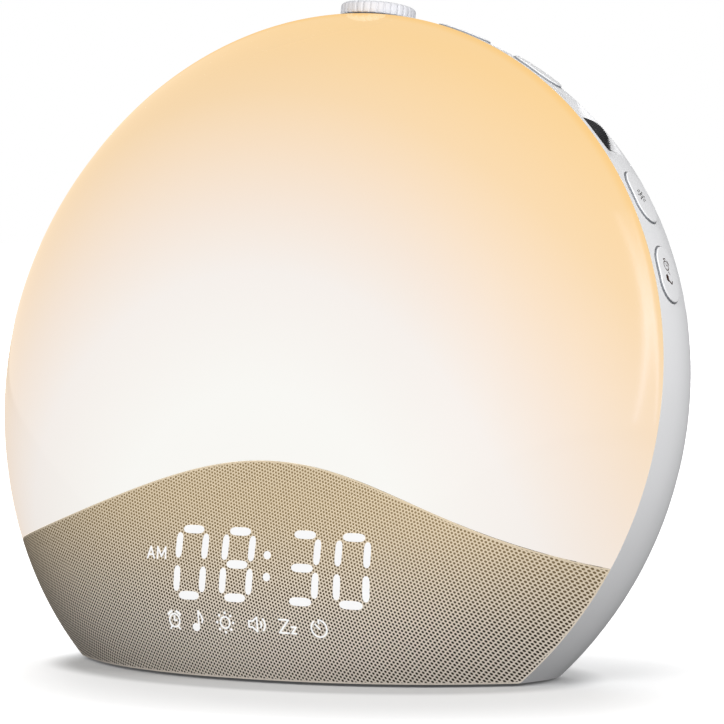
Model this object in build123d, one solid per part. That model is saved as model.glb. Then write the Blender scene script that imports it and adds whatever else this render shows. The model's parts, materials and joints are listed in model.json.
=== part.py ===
"""Sunrise alarm clock: a round leaning lamp with a display, a speaker, side buttons and a top knob.

Every piece is drawn in the lamp frame and then stood up. In the lamp frame X runs to the right,
Y up the face, Z out of the face, and the origin is the centre of the face's rim.
"""
import os
from math import cos, pi, radians, sin, sqrt, tan

from build123d import *

os.makedirs("parts", exist_ok=True)

# ---------------------------------------------------------------- driving dimensions, mm and degrees
face_radius = 95.0              # rim of the round face
face_tilt = 10.86               # the face leans back by this much
cut_rise = 25.43                # the body's level cut above the lowest point of the rim

dome_height = 35.0              # diffuser dome in front of the rim
dome_fullness = 5.5             # higher is flatter in the middle
dome_edge_power = 1.087
back_depth = 43.0               # rear shell behind the rim
back_fullness = 3.0
back_squareness = 3.3

lens_wall = 2.0
shell_wall = 2.2
skin_thickness = 0.9            # perforated grille skin
frame_thickness = 1.6           # moulded frame behind the skin
glue_gap = 0.1
part_gap = 0.25                 # between pieces that drop into each other
seam_gap = 0.3                  # between lens and grille along the wave
moving_gap = 0.35               # round anything that moves

profile_steps = 10              # points along each curved outline
reach_steps = 400               # points along an outline when its reach is measured

crest_lift = 46.87              # wave line between lamp and grille above the cut: its crest
trough_lift = 27.47             # and its trough
wave_centre = 7.4
wave_half_length = 84.5

base_thickness = 2.4
foot_height = 0.8               # feet below the body
foot_radius = 5.0
foot_recess = 0.8
foot_inset = 26.69              # middle of the feet from the ends of the cut
foot_spread = 26.0              # feet apart along the depth
foot_shift = -4.0               # middle of the feet along the depth

chassis_thickness = 3.0
lip_height = 3.0
lip_wall = 1.4
lens_clearance = 0.3

reflector_thickness = 1.6
reflector_wall = 1.5
reflector_height = 4.0
led_board_margin = 9.7          # half of the room left between the wave's crest, board and wall
led_board_drop = 5.0            # board below the middle of that room
led_board_bore = 12.0
board_thickness = 1.6
led_ring_insets = (10.0, 8.0)   # inner ring from the board's bore, outer ring from its edge
led_counts = (10, 18)
led_size = (3.5, 2.8, 0.8)
baffle_wall = 1.6

display_shift = 6.0             # middle of the display, to the right
display_lift = 17.57            # and above the cut, up the face
display_size = (66.0, 28.0)
display_wall = 1.6
display_board_rise = 12.0       # board above the chassis front
display_skin_gap = 0.3
digit_width = 9.6
digit_height = 18.2
digit_stroke = 2.05
stroke_across = 5.9             # length of a level stroke
stroke_up = 6.5                 # length of an upright stroke
digit_centres = (-12.9, 0.5, 18.7, 31.9)
digit_rise = 3.6                # middle of the digits above the display's middle
colon_place = 9.2
colon_dot = 0.95
colon_spread = 5.3
icon_drop = 10.4                # icons below the display's middle
icon_places = (-18.0, -10.6, -2.8, 6.2, 14.6, 23.0)
icon_window = 1.9               # radius of the light pipe behind an icon
mark_shift = -23.0              # AM and PM mark
mark_rise = 5.5
mark_window = (6.4, 3.2)

speaker_gap = 1.0               # between display and speaker
speaker_lift = 19.57            # middle of the speaker above the cut, up the face
speaker_radius = 13.5
speaker_rise = 6.0              # flange above the chassis front
speaker_flange = 1.2
speaker_depth = 9.0
cone_wall = 0.5
basket_wall = 1.0
basket_skirt = 2.0
surround_width = 1.2
dust_cap_radius = 4.0
dust_cap_rise = 1.0
magnet_radius = 8.0
magnet_height = 5.0
speaker_tube_wall = 2.0
gasket_thickness = 0.6

control_depth = 7.5             # middle of the buttons behind the rim
button_length = 14.4            # round the rim
button_width = 10.2
button_rise = 0.6
button_travel = 0.6
button_round = 0.4
button_depth = 4.6              # cap from its top to its underside
button_room = 0.7               # round the flange, in the chassis
flange_margin = 1.3
flange_thickness = 1.6
stem_radius = 1.5
stem_length = 1.6
switch_size = (6.0, 6.0, 3.0)
plunger_radius = 1.6
plunger_height = 0.9
switch_touch_gap = 0.05
switch_board_size = (12.0, 8.6, 1.2)
shelf_thickness = 2.5
button_angles = {"snooze": 16.2, "set": 30.65, "light": 57.9, "sound": 70.65}

wheel_angle = 45.15             # clockwise from the top, seen from the front
wheel_radius = 9.0
wheel_width = 4.0
wheel_proud = 0.6               # above the rim circle
wheel_depth = 7.0               # middle of the wheel behind the rim
wheel_teeth = 44
wheel_tooth = 0.35
wheel_bore = 1.5
wheel_cap = 0.8                 # closed front of the wheel's bore
wheel_slot_gap = 0.6
pot_gap = 0.8                   # between the wheel and the potentiometer
pot_size = (9.0, 7.0, 5.0)      # round the rim, across it, and deep
pot_shaft_depth = 3.0
pot_board_size = (14.0, 25.0, 1.6)
pot_post = (12.0, 7.0)
pot_post_inset = 1.0
pot_post_root = 0.5             # how deep the post is rooted in the chassis plate
shaft_clearance = 0.05
scoop_angle = 44.0
scoop_dip = 2.4
scoop_curve = 30.0
scoop_round = 1.9
scoop_reach = (2.2, 12.0)       # from front to back behind the rim
scoop_wall = 2.0

knob_radius = 9.5
knob_depth = 9.0                # axis behind the rim
knob_rise = 0.4                 # underside above the rim circle
knob_height = 3.0
knob_round = 0.9
knob_flutes = 32
flute_radius = 0.55
flute_depth = 0.36
knob_cavity_radius = 6.2
knob_cavity = 1.4
knob_shaft_radius = 3.0
knob_shaft_embed = 0.9
bushing_radius = 4.2
nut_radius = 5.6
nut_thickness = 0.9
nut_sink = 0.2                  # spot face in the shell
bushing_proud = 0.2
encoder_floor = 1.0
encoder_size = (12.0, 12.0, 6.5)
encoder_seat = 3.2              # pad under the shell wall

main_board_centre = (-12.0, 5.0)
main_board_size = (90.0, 66.0)
main_board_standoff = 9.0
standoff_radius = 3.0
standoff_inset = 5.0
board_screw_radius = 1.2
board_screw_head = 2.4
board_head_height = 1.4
board_screw_grip = 5.0
chip_boxes = ((-14.0, 6.0, 12.0, 12.0, 1.6), (14.0, 12.0, 9.0, 7.0, 1.4),
              (20.0, -12.0, 6.0, 5.0, 1.4), (-24.0, -16.0, 10.0, 6.0, 2.2))
capacitors = ((32.0, 4.0, 4.0, 9.0), (-34.0, 12.0, 3.2, 7.0), (4.0, -20.0, 3.2, 7.0))

case_screw_angles = (23.4, -23.4, 100.0, -100.0)
case_screw_inset = 22.5         # from the rim
case_boss_radius = 4.2
case_screw_radius = 1.5
case_screw_head = 3.0
case_head_height = 2.0
case_head_depth = 10.0          # head seat behind the rim
screw_engagement = 2.5

jack_place = (-30.0, -38.0)
jack_face_depth = 39.5          # mouth behind the rim
jack_mouth_radius = 3.1
jack_mouth_length = 3.0
jack_barrel_radius = 2.9
jack_barrel_length = 7.0
jack_nose_radius = 4.5
jack_flange_radius = 7.5
jack_flange = 1.5
jack_body_radius = 6.0
jack_body_length = 8.0
jack_pin_radius = 1.0
jack_recess_radius = 6.5
jack_boss_radius = 9.0
jack_seat_depth = 35.0

door_size = (36.0, 24.0)
door_thickness = 1.6
door_lift = 0.1                 # play between the door and its ledge
door_shift = 8.6                # middle of the door along the depth
cell_radius = 10.0
cell_height = 3.2
holder_wall = 1.6
contact_size = (6.0, 0.3)
contact_rise = 0.55             # above the base plate's top
door_screw_radius = 1.0
door_screw_head = 1.9
door_screw_sink = 0.8
door_screw_length = 5.0
door_screw_place = 14.8         # beside the cell
door_boss_radius = 2.2
door_boss_height = 3.0
base_screw_sink = 1.2
base_screw_places = (-44.0, 0.0, 44.0)
base_screw_grip = 5.0
rail_size = (104.0, 7.0, 7.0)   # rail at the bottom of the chassis
rail_setback = 1.0              # rail behind the chassis plate's front face

# ---------------------------------------------------------------- values worked out from them
face_centre_height = face_radius - cut_rise
cut_half_length = sqrt(face_radius ** 2 - face_centre_height ** 2)
wave_crest, wave_trough = crest_lift - face_centre_height, trough_lift - face_centre_height
foot_span = (2 * (cut_half_length - foot_inset), foot_spread)
display_centre = (display_shift, display_lift - face_centre_height)
digit_row = display_centre[1] + digit_rise
icon_row = display_centre[1] - icon_drop
mark_place = (mark_shift, display_centre[1] + mark_rise)
speaker_centre = (display_shift + display_size[0] / 2 + speaker_gap + speaker_radius,
                  speaker_lift - face_centre_height)
case_screw_places = [((face_radius - case_screw_inset) * sin(radians(angle)),
                      (face_radius - case_screw_inset) * cos(radians(angle)))
                     for angle in case_screw_angles]
rim_height = face_centre_height + foot_height
tilt = radians(face_tilt)
face_frame = Plane(origin=(0, 0, rim_height), x_dir=(1, 0, 0), z_dir=(0, -cos(tilt), sin(tilt)))
grille_thickness = skin_thickness + glue_gap + frame_thickness
lip_room = lens_clearance + lip_wall + part_gap  # locating lip's inner face inside the frame's
reflector_radius = face_radius - grille_thickness - lip_room - part_gap
led_room = reflector_radius - reflector_wall - wave_crest
led_board_radius = led_room / 2 - led_board_margin
led_board_centre = wave_crest + led_room / 2 - led_board_drop
led_rings = (led_board_bore + led_ring_insets[0], led_board_radius - led_ring_insets[1])
far = 3 * face_radius           # larger than the whole object
clear_out = button_depth + button_rise  # how far a cutter passes either side of the shell wall
base_top = foot_height + base_thickness
bottom = (Align.CENTER, Align.CENTER, Align.MIN)

pieces = {}


# ---------------------------------------------------------------- helpers
def disc(radius, height, x=0.0, y=0.0, z=0.0):
    """A cylinder along Z with its lower face at z."""
    return Pos(x, y, z) * Cylinder(radius, height, align=bottom)


def tube(outer, inner, height, x=0.0, y=0.0, z=0.0):
    return disc(outer, height, x, y, z) - disc(inner, height, x, y, z)


def block(size_x, size_y, size_z, x=0.0, y=0.0, z=0.0):
    """A box centred on x and y with its lower face at z."""
    return Pos(x, y, z) * Box(size_x, size_y, size_z, align=bottom)


def dome_rise(r, inset=0.0):
    """Height of the dome above the rim plane at radius r."""
    share = min(r / (face_radius - inset), 1.0)
    return (dome_height - inset) * (1 - share ** dome_fullness) ** dome_edge_power


def dome_solid(inset=0.0):
    """Everything under the dome, its surface moved in by inset."""
    edge = face_radius - inset
    radii = [edge * sin(pi / 2 * sin(pi / 2 * k / profile_steps)) for k in range(profile_steps)]
    curve = Spline(*[(r, 0, dome_rise(r, inset)) for r in radii], (edge, 0, 0))
    outline = [curve, Line((edge, 0, 0), (0, 0, 0)), Line((0, 0, 0), (0, 0, dome_height - inset))]
    return revolve(make_face(outline), Axis.Z)


def back_solid(inset=0.0):
    """Everything inside the rear shell's surface, moved in by inset: a rounded pillow."""
    edge, depth = face_radius - inset, back_depth - inset
    turns = [pi / 2 * k / profile_steps for k in range(profile_steps)]
    curve_points = [(edge * cos(a) ** (2 / back_fullness), 0, -depth * sin(a) ** (2 / back_squareness))
                    for a in turns] + [(0, 0, -depth)]
    curve = Spline(*curve_points, tangents=((0, 0, -1), (-1, 0, 0)))
    outline = [curve, Line((0, 0, -depth), (0, 0, 0)), Line((0, 0, 0), (edge, 0, 0))]
    return revolve(make_face(outline), Axis.Z)


def back_sink(r, inset=0.0):
    """Depth of the rear shell behind the rim plane at radius r."""
    share = min(r / (face_radius - inset), 1.0)
    return (back_depth - inset) * (1 - share ** back_fullness) ** (1 / back_squareness)


def leaning_reach(rise):
    """How far a round surface reaches from the rim's centre, level with the table, once it leans."""
    radii = [face_radius * k / reach_steps for k in range(reach_steps + 1)]
    return max(rise(r) * cos(tilt) + r * sin(tilt) for r in radii)


def wave_height(x):
    """The wave line: one smooth swell from trough to crest and back."""
    swell = 0.5 + 0.5 * cos(pi * (x - wave_centre) / wave_half_length)
    return wave_trough + (wave_crest - wave_trough) * swell


def above_wave(shift=0.0):
    """Everything above the wave line, which is moved up by shift."""
    half = profile_steps // 2
    along = [wave_centre + wave_half_length * k / half for k in range(-half, half + 1)]
    swell = Spline(*[(x, wave_height(x) + shift) for x in along], tangents=((1, 0), (1, 0)))
    low = wave_trough + shift
    rest = Polyline((along[-1], low), (far, low), (far, far), (-far, far), (-far, low), (along[0], low))
    return Pos(0, 0, -far / 2) * extrude(make_face([swell, rest]), far)


def stood_up(shape):
    """From the lamp frame to the table."""
    return face_frame.location * shape


def above_level(level):
    return Pos(0, 0, level) * Box(2 * far, 2 * far, far, align=bottom)


def keep(name, shape, level=foot_height):
    """Stand a lamp-frame piece up, cut it level at its foot, and keep it."""
    pieces[name] = stood_up(shape) & above_level(level)


def keep_whole(name, shape):
    pieces[name] = stood_up(shape)


def joined(solids):
    """One group of separate solids."""
    return Compound([solid for part in solids for solid in part.solids()])


def rim_place(angle, depth, radius=face_radius):
    """A frame on the rim: Z out of the shell, X round the rim, Y towards the back."""
    turn = radians(angle)
    out = (sin(turn), cos(turn), 0)
    return Plane(origin=(radius * out[0], radius * out[1], -depth), x_dir=(cos(turn), -sin(turn), 0),
                 z_dir=out).location


def pill(length, width, low, high):
    """A pill-shaped prism between two heights."""
    return Pos(0, 0, low) * extrude(SlotOverall(length, width), high - low)


# ---------------------------------------------------------------- front: lens, grille, baffle
def front_lens():
    wall = dome_solid() - dome_solid(lens_wall)
    return wall & above_wave(seam_gap / 2)


def grille_parts():
    below = above_wave(-seam_gap / 2)
    skin = dome_solid() - dome_solid(skin_thickness) - below
    frame = dome_solid(skin_thickness + glue_gap) - dome_solid(grille_thickness) - below
    window = block(display_size[0] + 2 * part_gap, display_size[1] + 2 * part_gap, far, *display_centre)
    frame -= window
    frame -= disc(speaker_radius - speaker_flange, far, *speaker_centre)
    return skin, frame


def light_baffle():
    strip = above_wave(-seam_gap / 2 - baffle_wall) - above_wave(-seam_gap / 2)
    inside = dome_solid(grille_thickness + part_gap)
    ring_room = disc(face_radius - grille_thickness - lip_room, far)
    return strip & inside & ring_room


# ---------------------------------------------------------------- chassis and what it carries
chassis_radius = face_radius - shell_wall - part_gap
board_corners = [(main_board_centre[0] + i * (main_board_size[0] / 2 - standoff_inset),
                  main_board_centre[1] + j * (main_board_size[1] / 2 - standoff_inset))
                 for i in (-1, 1) for j in (-1, 1)]
main_board_front = -chassis_thickness - main_board_standoff
wheel_axis_radius = face_radius + wheel_proud - wheel_radius
wheel_back = -wheel_depth - wheel_width / 2
pot_front = wheel_back - pot_gap
pot_back = pot_front - pot_size[2]
pot_board_middle = wheel_axis_radius - pot_board_size[1] / 2 + pot_size[1] / 2
cap_bottom = face_radius + button_rise - button_depth
plunger_top = cap_bottom - stem_length - button_travel - switch_touch_gap
switch_bottom = plunger_top - plunger_height - switch_size[2]
shelf_top = switch_bottom - switch_board_size[2]


def scoop_cutter(grow=0.0):
    """The finger scoop beside the wheel: a large round, rounded at its two ends."""
    reach = scoop_reach[1] - scoop_reach[0] + 2 * grow
    axis_radius = face_radius - scoop_dip + scoop_curve
    roller = Cylinder(scoop_curve + grow, reach)
    roller = fillet(roller.edges().filter_by(GeomType.CIRCLE), scoop_round)
    turn = radians(scoop_angle)
    middle = -(scoop_reach[0] + scoop_reach[1]) / 2
    return Pos(axis_radius * sin(turn), axis_radius * cos(turn), middle) * roller


def chassis():
    plate = disc(chassis_radius, chassis_thickness, z=-chassis_thickness)
    plate -= scoop_cutter(scoop_wall + part_gap)
    lip_outer = dome_solid(grille_thickness + lens_clearance)
    lip = lip_outer & tube(face_radius, face_radius - grille_thickness - lens_clearance - lip_wall,
                           lip_height)
    body = plate + lip
    body += tube(speaker_radius, speaker_radius - speaker_tube_wall, speaker_rise - gasket_thickness,
                 *speaker_centre)
    body -= disc(speaker_radius - speaker_tube_wall, far, speaker_centre[0], speaker_centre[1], -far / 2)
    for x, y in board_corners:
        body += disc(standoff_radius, main_board_standoff, x, y, main_board_front)
        body -= disc(board_screw_radius, board_screw_grip, x, y, main_board_front)
    for x, y in case_screw_places:
        body -= disc(case_screw_radius, screw_engagement, x, y, -chassis_thickness)
    for angle in button_angles.values():
        margin = 2 * (flange_margin + button_room)
        room = pill(button_length + margin, button_width + margin, shelf_top - face_radius, clear_out)
        body -= rim_place(angle, control_depth) * room
        shelf_room = chassis_thickness / 2
        shelf = Box(switch_board_size[0], control_depth + switch_board_size[1] / 2 - shelf_room,
                    shelf_thickness, align=(Align.CENTER, Align.MIN, Align.MAX))
        body += rim_place(angle, shelf_room, shelf_top) * shelf
    post = Box(pot_post[0], -pot_back - chassis_thickness + pot_post_root, pot_post[1],
               align=(Align.CENTER, Align.MIN, Align.MIN))
    post_radius = pot_board_middle - pot_board_size[1] / 2 + pot_post_inset
    body += rim_place(wheel_angle, chassis_thickness - pot_post_root, post_radius) * post
    return body


def rail_middle():
    """Depth of the rail: its front face lies under the chassis plate's front face."""
    foot_y = -(rim_height - base_top) * tan(tilt)
    return foot_y + rail_size[1] / 2 + rail_setback


def chassis_stood():
    """The chassis with the rail that the base plate is screwed to."""
    body = stood_up(chassis()) & above_level(base_top)
    rail_y = rail_middle()
    rail = block(*rail_size, y=rail_y, z=base_top)
    inside = stood_up(back_solid(shell_wall + part_gap))
    rail = rail & inside
    body += rail
    for x in base_screw_places:
        body -= disc(case_screw_radius, base_screw_grip, x, rail_y, base_top)
    return body


def reflector():
    tray = disc(reflector_radius, reflector_thickness)
    wall = tube(reflector_radius, reflector_radius - reflector_wall, reflector_height)
    return (tray + wall) & above_wave(part_gap) & dome_solid(lens_wall + lens_clearance)


def led_parts():
    board = tube(led_board_radius, led_board_bore, board_thickness, y=led_board_centre,
                 z=reflector_thickness)
    chips = []
    for ring, count in zip(led_rings, led_counts):
        for k in range(count):
            chip = block(*led_size, x=ring, z=reflector_thickness + board_thickness)
            chips.append(Pos(0, led_board_centre, 0) * Rot(0, 0, 360 * k / count) * chip)
    return board, joined(chips)


# ---------------------------------------------------------------- display
def digit_strokes(x):
    """The seven strokes of one digit."""
    half_w, half_h = (digit_width - digit_stroke) / 2, (digit_height - digit_stroke) / 2
    flat = SlotOverall(stroke_across, digit_stroke)
    upright = Rot(0, 0, 90) * SlotOverall(stroke_up, digit_stroke)
    strokes = [Pos(x, digit_row + level * half_h, 0) * flat for level in (1, 0, -1)]
    for side in (-1, 1):
        for half in (-1, 1):
            strokes.append(Pos(x + side * half_w, digit_row + half * half_h / 2, 0) * upright)
    return strokes


def light_pipes():
    """Light pipes behind each stroke, dot and icon."""
    flats = []
    for x in digit_centres:
        flats += digit_strokes(x)
    for side in (-1, 1):
        flats.append(Pos(colon_place, digit_row + side * colon_spread / 2, 0) * Circle(colon_dot))
    for x in icon_places:
        flats.append(Pos(x, icon_row, 0) * Circle(icon_window))
    flats.append(Pos(*mark_place, 0) * Rectangle(*mark_window))
    low = display_board_rise + board_thickness
    return [Pos(0, 0, low) * extrude(flat, dome_height) for flat in flats]


def display_parts():
    inside = dome_solid(skin_thickness + display_skin_gap)
    low = display_board_rise + board_thickness
    bracket = block(*display_size, display_board_rise, *display_centre)
    bracket -= block(display_size[0] - 2 * display_wall, display_size[1] - 2 * display_wall,
                     display_board_rise, *display_centre)
    board = block(*display_size, board_thickness, *display_centre, display_board_rise)
    pipes = light_pipes()
    housing = block(*display_size, dome_height, *display_centre, low) - pipes
    return bracket, board, housing & inside, joined([pipe & inside for pipe in pipes])


# ---------------------------------------------------------------- speaker
def speaker_parts():
    x, y = speaker_centre
    seat = speaker_rise
    basket_r, neck_r = speaker_radius - speaker_tube_wall - part_gap, magnet_radius
    low, wall = seat - speaker_depth, basket_wall
    outer = [(neck_r, low), (basket_r, seat - basket_skirt), (basket_r, seat), (speaker_radius, seat),
             (speaker_radius, seat + speaker_flange), (basket_r - wall, seat + speaker_flange),
             (basket_r - wall, seat - basket_skirt), (neck_r - wall, low + wall), (0, low + wall), (0, low)]
    profile = make_face(Polyline(*[(r, 0, z) for r, z in outer], close=True))
    basket = Pos(x, y, 0) * revolve(profile, Axis.Z)
    cone_out = basket_r - wall
    rim_z, dip_z = seat, low + 2 * wall + cone_wall
    cone_line = [(0, dip_z + dust_cap_rise), (dust_cap_radius, dip_z),
                 (cone_out - surround_width, rim_z), (cone_out, rim_z)]
    under = [(r, z - cone_wall) for r, z in reversed(cone_line)]
    cone_face = make_face(Polyline(*[(r, 0, z) for r, z in cone_line + under], close=True))
    cone = Pos(x, y, 0) * revolve(cone_face, Axis.Z)
    magnet = disc(magnet_radius, magnet_height, x, y, low - magnet_height)
    gasket = tube(speaker_radius, speaker_radius - speaker_tube_wall, gasket_thickness, x, y,
                  seat - gasket_thickness)
    return basket, cone, magnet, gasket


# ---------------------------------------------------------------- main board
def main_board_parts():
    x, y = main_board_centre
    back = main_board_front - board_thickness
    board = block(*main_board_size, board_thickness, x, y, back)
    screws = []
    for corner in board_corners:
        board -= disc(board_screw_radius, board_thickness, *corner, back)
        screw = disc(board_screw_radius, board_thickness + board_screw_grip, *corner, back)
        screws.append(screw + disc(board_screw_head, board_head_height, *corner,
                                   back - board_head_height))
    chips = [block(w, h, tall, x + cx, y + cy, back - tall) for cx, cy, w, h, tall in chip_boxes]
    cans = [disc(r, tall, x + cx, y + cy, back - tall) for cx, cy, r, tall in capacitors]
    return board, joined(chips), joined(cans), joined(screws)


# ---------------------------------------------------------------- rear shell, jack, knob, wheel
knob_under = face_radius + knob_rise
shell_at_knob = face_radius - shell_wall
encoder_top = shell_at_knob - encoder_seat
nut_seat = face_radius - nut_sink
shaft_top = knob_under + knob_cavity + knob_shaft_embed
shaft_low = encoder_top - encoder_size[2] + encoder_floor
bushing_top = nut_seat + nut_thickness + bushing_proud


def on_knob_axis(shape):
    """A shape drawn along Z, turned so that Z points up the face, on the knob's axis."""
    return Plane(origin=(0, 0, -knob_depth), x_dir=(1, 0, 0), z_dir=(0, 1, 0)).location * shape


def on_wheel_axis(shape):
    turn = radians(wheel_angle)
    return Pos(wheel_axis_radius * sin(turn), wheel_axis_radius * cos(turn), 0) * shape


def jack_at(shape, depth):
    return Pos(jack_place[0], jack_place[1], -depth) * shape


def rear_shell():
    outer = back_solid()
    body = outer - back_solid(shell_wall)
    scoop_pad = scoop_cutter(scoop_wall) & outer
    knob_pad = on_knob_axis(block(encoder_size[0], encoder_size[1], encoder_seat + shell_wall / 2,
                                  z=encoder_top)) & outer
    jack_boss = jack_at(disc(jack_boss_radius, back_depth - jack_seat_depth), back_depth) & outer
    body += scoop_pad
    body += knob_pad
    body += jack_boss
    for x, y in case_screw_places:
        reach = back_depth - chassis_thickness
        body += disc(case_boss_radius, reach, x, y, -back_depth) & outer
    for x, y in case_screw_places:
        body -= disc(case_screw_radius, far, x, y, -far)
        body -= disc(case_screw_head + part_gap, far, x, y, -far - case_head_depth)
    body -= jack_at(disc(jack_nose_radius, far), far)
    body -= jack_at(disc(jack_recess_radius, far), far + jack_face_depth)
    body -= on_knob_axis(disc(bushing_radius, far))
    body -= on_knob_axis(disc(nut_radius + part_gap, far, z=nut_seat))
    body -= scoop_cutter()
    slot = disc(wheel_radius + wheel_slot_gap, wheel_width + 2 * wheel_slot_gap,
                z=wheel_back - wheel_slot_gap)
    body -= on_wheel_axis(slot)
    for angle in button_angles.values():
        hole = pill(button_length + 2 * moving_gap, button_width + 2 * moving_gap, -clear_out, clear_out)
        body -= rim_place(angle, control_depth) * hole
    return body


def case_screws():
    screws = []
    for x, y in case_screw_places:
        head = disc(case_screw_head, case_head_height, x, y, -case_head_depth - case_head_height)
        shank_length = case_head_depth - chassis_thickness + screw_engagement
        screws.append(head + disc(case_screw_radius, shank_length, x, y, -case_head_depth))
    return joined(screws)


def power_jack():
    face, seat = -jack_face_depth, -jack_seat_depth
    body = disc(jack_nose_radius, seat - face, z=face)
    body += disc(jack_flange_radius, jack_flange, z=seat)
    body += disc(jack_body_radius, jack_body_length, z=seat)
    body -= disc(jack_mouth_radius, jack_mouth_length, z=face)
    body -= disc(jack_barrel_radius, jack_barrel_length, z=face + jack_mouth_length)
    pin = disc(jack_pin_radius, jack_barrel_length, z=face + jack_mouth_length)
    return Pos(*jack_place, 0) * body, Pos(*jack_place, 0) * pin


def knob_parts():
    knob = disc(knob_radius, knob_height, z=knob_under)
    knob = fillet(knob.edges().group_by(Axis.Z)[-1], knob_round)
    flute = disc(flute_radius, knob_height, x=knob_radius + flute_radius - flute_depth, z=knob_under)
    for k in range(knob_flutes):
        knob -= Rot(0, 0, 360 * k / knob_flutes) * flute
    knob -= disc(knob_cavity_radius, knob_cavity, z=knob_under)
    knob -= disc(knob_shaft_radius, knob_shaft_embed, z=knob_under + knob_cavity)
    shaft = disc(knob_shaft_radius, shaft_top - shaft_low, z=shaft_low)
    encoder = block(*encoder_size, z=encoder_top - encoder_size[2])
    encoder += disc(bushing_radius, bushing_top - encoder_top, z=encoder_top)
    encoder -= disc(knob_shaft_radius + shaft_clearance, far, z=shaft_low)
    nut = tube(nut_radius, bushing_radius, nut_thickness, z=nut_seat)
    return [on_knob_axis(part) for part in (knob, shaft, encoder, nut)]


def wheel_parts():
    corners = []
    for k in range(2 * wheel_teeth):
        radius = wheel_radius - (wheel_tooth if k % 2 else 0)
        turn = pi * k / wheel_teeth
        corners.append((radius * cos(turn), radius * sin(turn)))
    wheel = Pos(0, 0, wheel_back) * extrude(make_face(Polyline(*corners, close=True)), wheel_width)
    wheel -= disc(wheel_bore, wheel_width - wheel_cap, z=wheel_back)
    shaft = disc(wheel_bore, wheel_width - wheel_cap + pot_gap + pot_shaft_depth,
                 z=pot_front - pot_shaft_depth)
    pot = Rot(0, 0, -wheel_angle) * block(*pot_size, z=pot_back)
    pot -= disc(wheel_bore + shaft_clearance, far, z=pot_front - pot_shaft_depth)
    turn = radians(wheel_angle)
    board = Pos(pot_board_middle * sin(turn), pot_board_middle * cos(turn), 0) * (
        Rot(0, 0, -wheel_angle) * block(*pot_board_size, z=pot_back - pot_board_size[2]))
    return on_wheel_axis(wheel), on_wheel_axis(shaft), on_wheel_axis(pot), board


# ---------------------------------------------------------------- buttons
def is_top_edge(edge, angle):
    """True for the edges round a cap's crown, which all lie outside the shell wall."""
    middle = edge.center()
    turn = radians(angle)
    return middle.X * sin(turn) + middle.Y * cos(turn) > face_radius - shell_wall / 2


def button_cap(angle):
    """A pill cap whose top follows the shell, with a flange that stops it from inside."""
    place = rim_place(angle, control_depth)
    low = cap_bottom - face_radius
    crown = place * pill(button_length, button_width, low, clear_out) & back_solid(-button_rise)
    crown = fillet(crown.edges().filter_by(lambda e: is_top_edge(e, angle)), button_round)
    flange = pill(button_length + 2 * flange_margin, button_width + 2 * flange_margin, low,
                  low + flange_thickness)
    flange = (place * flange) & back_solid(shell_wall + moving_gap)
    stem = place * disc(stem_radius, stem_length, z=low - stem_length)
    return crown + flange + stem


def switch_parts():
    switches, boards = [], []
    for angle in button_angles.values():
        place = rim_place(angle, control_depth, switch_bottom)
        switch = block(*switch_size) + disc(plunger_radius, plunger_height, z=switch_size[2])
        switches.append(place * switch)
        boards.append(place * block(*switch_board_size, z=-switch_board_size[2]))
    return joined(switches), joined(boards)


# ---------------------------------------------------------------- base, feet, battery (on the table)
def base_inside():
    """The space that the base plate fills, between grille frame and rear shell."""
    return stood_up(dome_solid(grille_thickness + part_gap) + back_solid(shell_wall + part_gap))


def base_parts():
    plate = base_inside() & (above_level(foot_height) - above_level(base_top))
    plate += disc(door_boss_radius, door_boss_height, door_screw_place, door_shift, base_top)
    plate -= block(door_size[0] + 2 * part_gap, door_size[1] + 2 * part_gap, door_thickness,
                   y=door_shift, z=foot_height)
    plate -= disc(cell_radius + 2 * part_gap, base_thickness, y=door_shift, z=foot_height)
    plate -= disc(door_screw_radius, far, door_screw_place, door_shift, foot_height)
    feet = []
    for i in (-1, 1):
        for j in (-1, 1):
            x, y = i * foot_span[0] / 2, foot_shift + j * foot_span[1] / 2
            foot = disc(foot_radius, foot_height + foot_recess, x, y)
            plate -= disc(foot_radius, foot_recess, x, y, foot_height)
            feet.append(foot)
    screws = []
    for x in base_screw_places:
        y = rail_middle()
        plate -= disc(case_screw_radius, base_thickness, x, y, foot_height)
        plate -= disc(case_screw_head, base_screw_sink, x, y, foot_height)
        screws.append(disc(case_screw_head, base_screw_sink, x, y, foot_height)
                      + disc(case_screw_radius, base_thickness + base_screw_grip, x, y, foot_height))
    return plate, joined(feet), joined(screws)


def battery_parts():
    y = door_shift
    floor, lid = base_top, foot_height
    door = block(*door_size, door_thickness - door_lift, y=y, z=lid)
    door -= disc(door_screw_radius, door_thickness, door_screw_place, y, lid)
    door -= disc(door_screw_head, door_screw_sink, door_screw_place, y, lid)
    screw = disc(door_screw_head, door_screw_sink, door_screw_place, y, lid)
    screw += disc(door_screw_radius, door_screw_length, door_screw_place, y, lid)
    holder_height = contact_rise + contact_size[1] + cell_height + holder_wall
    length = 2 * (cell_radius + holder_wall) + 2 * part_gap
    holder = block(length, length, holder_height, y=y, z=floor)
    holder -= disc(cell_radius + part_gap, holder_height - holder_wall, y=y, z=floor)
    contact_low = floor + contact_rise
    contact = block(contact_size[0], length, contact_size[1], y=y, z=contact_low)
    holder -= contact
    cell = disc(cell_radius, cell_height, y=y, z=contact_low + contact_size[1])
    return door, screw, holder, contact, cell


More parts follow.
